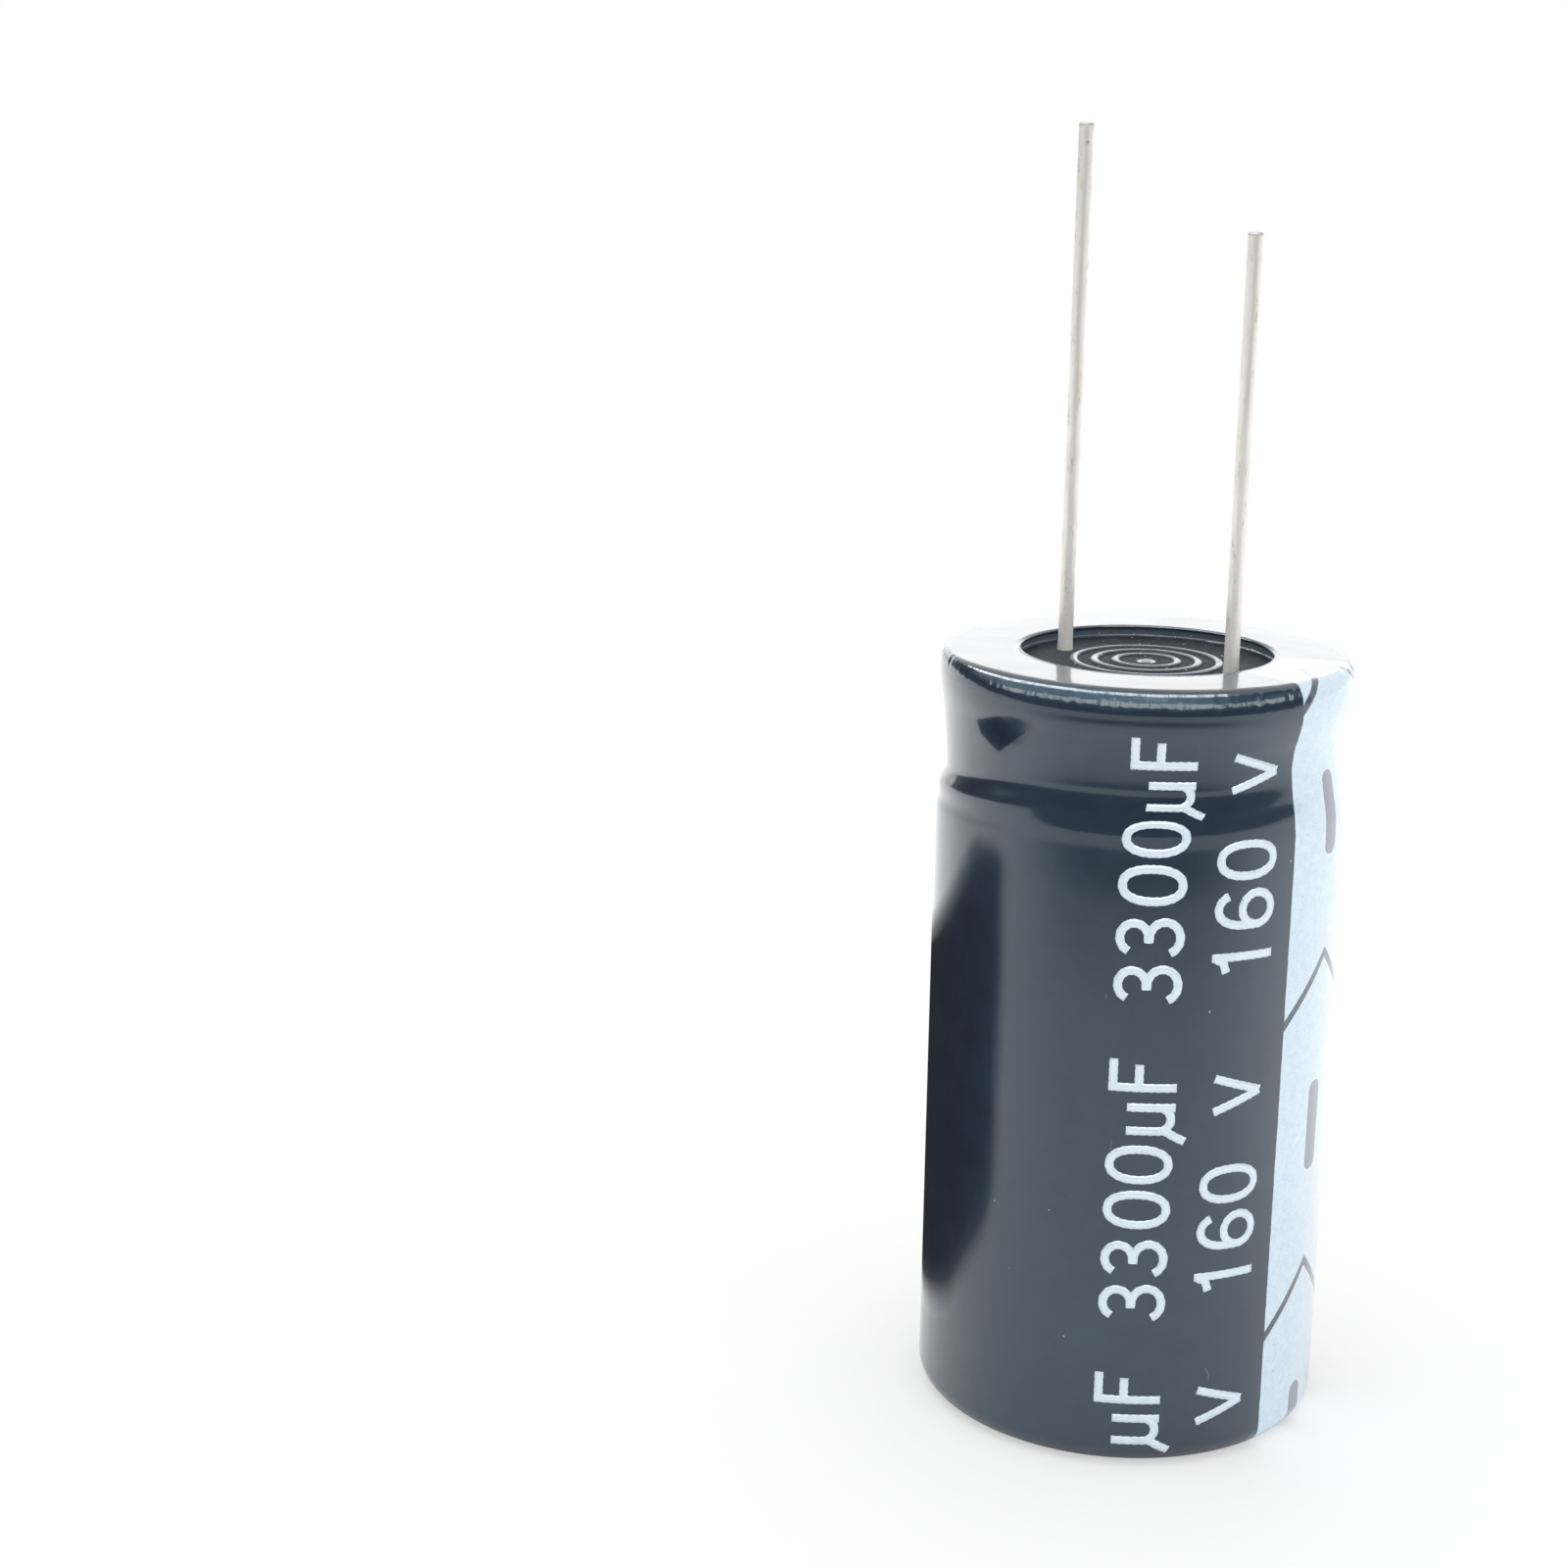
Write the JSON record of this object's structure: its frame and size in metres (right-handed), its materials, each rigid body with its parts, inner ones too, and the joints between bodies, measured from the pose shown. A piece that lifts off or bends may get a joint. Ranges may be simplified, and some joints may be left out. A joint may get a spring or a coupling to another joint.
{
  "type": "electrolytic capacitor",
  "caption": "Round aluminium can in a shrunk plastic sleeve, with a cross-scored vent end, a rolled bead, a rubber bung and two tinned wire leads of unequal length.",
  "frame": {"origin": "middle of the foot at the vent end, on the can's axis", "axes": "+Z along the can's axis towards the leads, which stand on the X axis with the negative lead at +X"},
  "size_m": [0.022, 0.022, 0.0692],
  "materials": {
    "can": "bright drawn aluminium",
    "sleeve": "glossy black shrink film",
    "bung": "moulded black rubber with a slight sheen",
    "wire": "tinned copper-clad steel wire",
    "tab": "pressed aluminium",
    "roll": "foil and soaked paper, wound",
    "tape": "thin adhesive tape"
  },
  "bodies": {
    "root": {"aluminium_can": "can", "shrink_sleeve": "sleeve", "rubber_bung": "bung", "positive_lead_wire": "wire", "negative_lead_wire": "wire", "positive_tab": "tab", "negative_tab": "tab", "wound_element": "roll", "closing_tape": "tape"}
  },
  "joints": []
}
